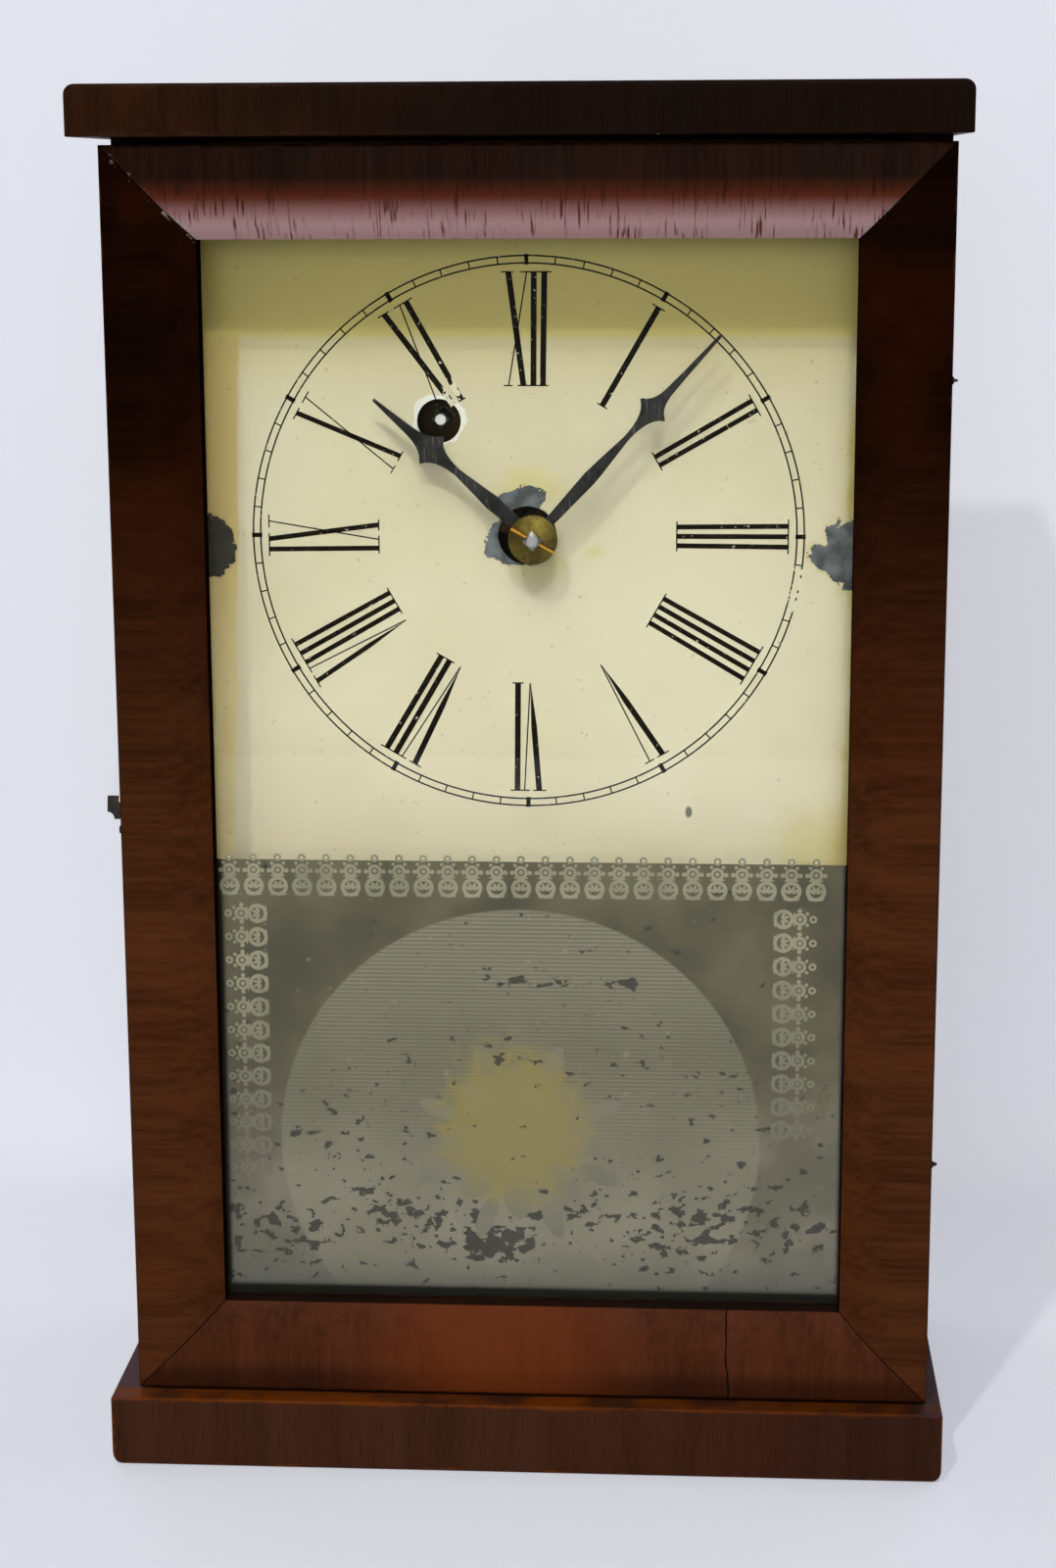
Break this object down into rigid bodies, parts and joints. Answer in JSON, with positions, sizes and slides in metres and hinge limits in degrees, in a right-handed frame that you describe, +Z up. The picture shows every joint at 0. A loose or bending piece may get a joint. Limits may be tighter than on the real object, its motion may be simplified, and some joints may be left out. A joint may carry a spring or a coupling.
{
  "type": "box clock",
  "caption": "Veneered rectangular mantel clock with a glazed moulded door, painted dial, blued hands and a lantern-pinion pendulum movement.",
  "frame": {"origin": "middle of the footprint, on the surface that the clock stands on", "axes": "+X to the viewer's right, +Y from the door to the backboard, +Z up"},
  "size_m": [0.187, 0.102, 0.305],
  "materials": {
    "veneer_cross": "satin",
    "veneer_door": "satin",
    "case_wood": "satin",
    "pine": "rough",
    "dial_paint": "satin",
    "brass": "aged",
    "steel": "aged",
    "blued_steel": "satin",
    "spring_steel": "aged",
    "glass": "clear"
  },
  "bodies": {
    "case": {"base_board": "veneer_cross", "top_board": "veneer_cross", "case_side_left": "case_wood", "case_side_right": "case_wood", "back_board": "pine", "dial_block_left": "pine", "dial_block_right": "pine", "dial_plate": "dial_paint", "dial_screws": "brass", "hinge_upper_case_eye": "steel", "hinge_lower_case_eye": "steel", "hook_screw": "steel", "seat_strips": "pine", "movement_screws": "steel", "front_plate": "brass", "back_plate": "brass", "pillars": "brass", "pillar_pins": "steel", "minute_wheel_stud": "steel", "suspension_post": "brass", "suspension_spring": "spring_steel", "mainspring": "spring_steel"},
    "door": {"door_rail_top": "veneer_cross", "door_rail_bottom": "veneer_cross", "door_stile_left": "veneer_door", "door_stile_right": "veneer_door", "glass_pane": "glass", "glazing_strips": "pine", "hinge_upper_door_eye": "steel", "hinge_lower_door_eye": "steel", "catch_pin": "steel"},
    "hook": {"door_hook": "steel"},
    "minute_hand_and_centre_wheel": {"centre_arbor": "steel", "centre_wheel": "brass", "cannon_pinion": "brass", "minute_hand": "blued_steel", "hand_washer": "brass", "hand_pin": "brass"},
    "hour_hand_and_wheel": {"hour_wheel": "brass", "hour_hand": "blued_steel"},
    "minute_wheel_and_pinion": {"minute_wheel": "brass"},
    "great_wheel_body": {"great_wheel": "brass", "click_spring": "steel"},
    "winding": {"winding_arbor": "steel", "ratchet_wheel": "brass"},
    "click_body": {"click": "brass"},
    "third": {"third_arbor": "steel", "third_wheel": "brass"},
    "escape": {"escape_arbor": "steel", "escape_wheel": "brass"},
    "verge": {"verge_arbor": "steel", "verge_strip": "spring_steel", "crutch": "brass"},
    "pendulum": {"pendulum_rod": "brass", "pendulum_bob": "brass", "rating_nut": "brass"}
  },
  "joints": [
    {"name": "door_hinge", "type": "hinge", "parent": "case", "child": "door", "pos_m": [0.0914, -0.02625, 0.1549], "axis": [0, 0, 1], "range_deg": [0, 170]},
    {"name": "door_hook_turn", "type": "hinge", "parent": "case", "child": "hook", "pos_m": [-0.0889, -0.0121, 0.145], "axis": [-1, 0, 0], "range_deg": [-12, 80]},
    {"name": "minute_hand_turn", "type": "hinge", "parent": "case", "child": "minute_hand_and_centre_wheel", "pos_m": [0.0015, 0.0022, 0.2085], "axis": [0, 1, 0], "continuous": true},
    {"name": "hour_hand_turn", "type": "hinge", "parent": "case", "child": "hour_hand_and_wheel", "pos_m": [0.0015, -0.0134, 0.2085], "axis": [0, 1, 0], "continuous": true},
    {"name": "minute_wheel_turn", "type": "hinge", "parent": "case", "child": "minute_wheel_and_pinion", "pos_m": [-0.00997, 0.0006, 0.20047], "axis": [0, 1, 0], "continuous": true},
    {"name": "great_wheel_turn", "type": "hinge", "parent": "case", "child": "great_wheel_body", "pos_m": [-0.01958, 0.0022, 0.23363], "axis": [0, 1, 0], "continuous": true},
    {"name": "third_wheel_turn", "type": "hinge", "parent": "case", "child": "third", "pos_m": [0.01907, 0.0022, 0.2208], "axis": [0, 1, 0], "continuous": true},
    {"name": "escape_wheel_turn", "type": "hinge", "parent": "case", "child": "escape", "pos_m": [0.01343, 0.0022, 0.23631], "axis": [0, 1, 0], "continuous": true},
    {"name": "winding_turn", "type": "hinge", "parent": "great_wheel_body", "child": "winding", "pos_m": [-0.01958, 0.0022, 0.23363], "axis": [0, 1, 0], "continuous": true},
    {"name": "click_lift", "type": "hinge", "parent": "great_wheel_body", "child": "click_body", "pos_m": [-0.00968, 0.0182, 0.22373], "axis": [0, -1, 0], "range_deg": [-12, 8]},
    {"name": "pendulum_swing", "type": "hinge", "parent": "case", "child": "pendulum", "pos_m": [0.01343, -0.0046, 0.25269], "axis": [0, 1, 0], "range_deg": [-3, 3]},
    {"name": "verge_swing", "type": "hinge", "parent": "case", "child": "verge", "pos_m": [0.01343, 0.0022, 0.25269], "axis": [0, 1, 0], "range_deg": [-3, 3]}
  ],
  "couplings": [
    {"joint": "hour_hand_turn", "follows": "minute_hand_turn", "ratio": 0.083333},
    {"joint": "minute_wheel_turn", "follows": "minute_hand_turn", "ratio": -0.33333},
    {"joint": "great_wheel_turn", "follows": "minute_hand_turn", "ratio": -0.13889},
    {"joint": "third_wheel_turn", "follows": "minute_hand_turn", "ratio": -12},
    {"joint": "escape_wheel_turn", "follows": "minute_hand_turn", "ratio": 120},
    {"joint": "verge_swing", "follows": "pendulum_swing", "ratio": 1}
  ]
}
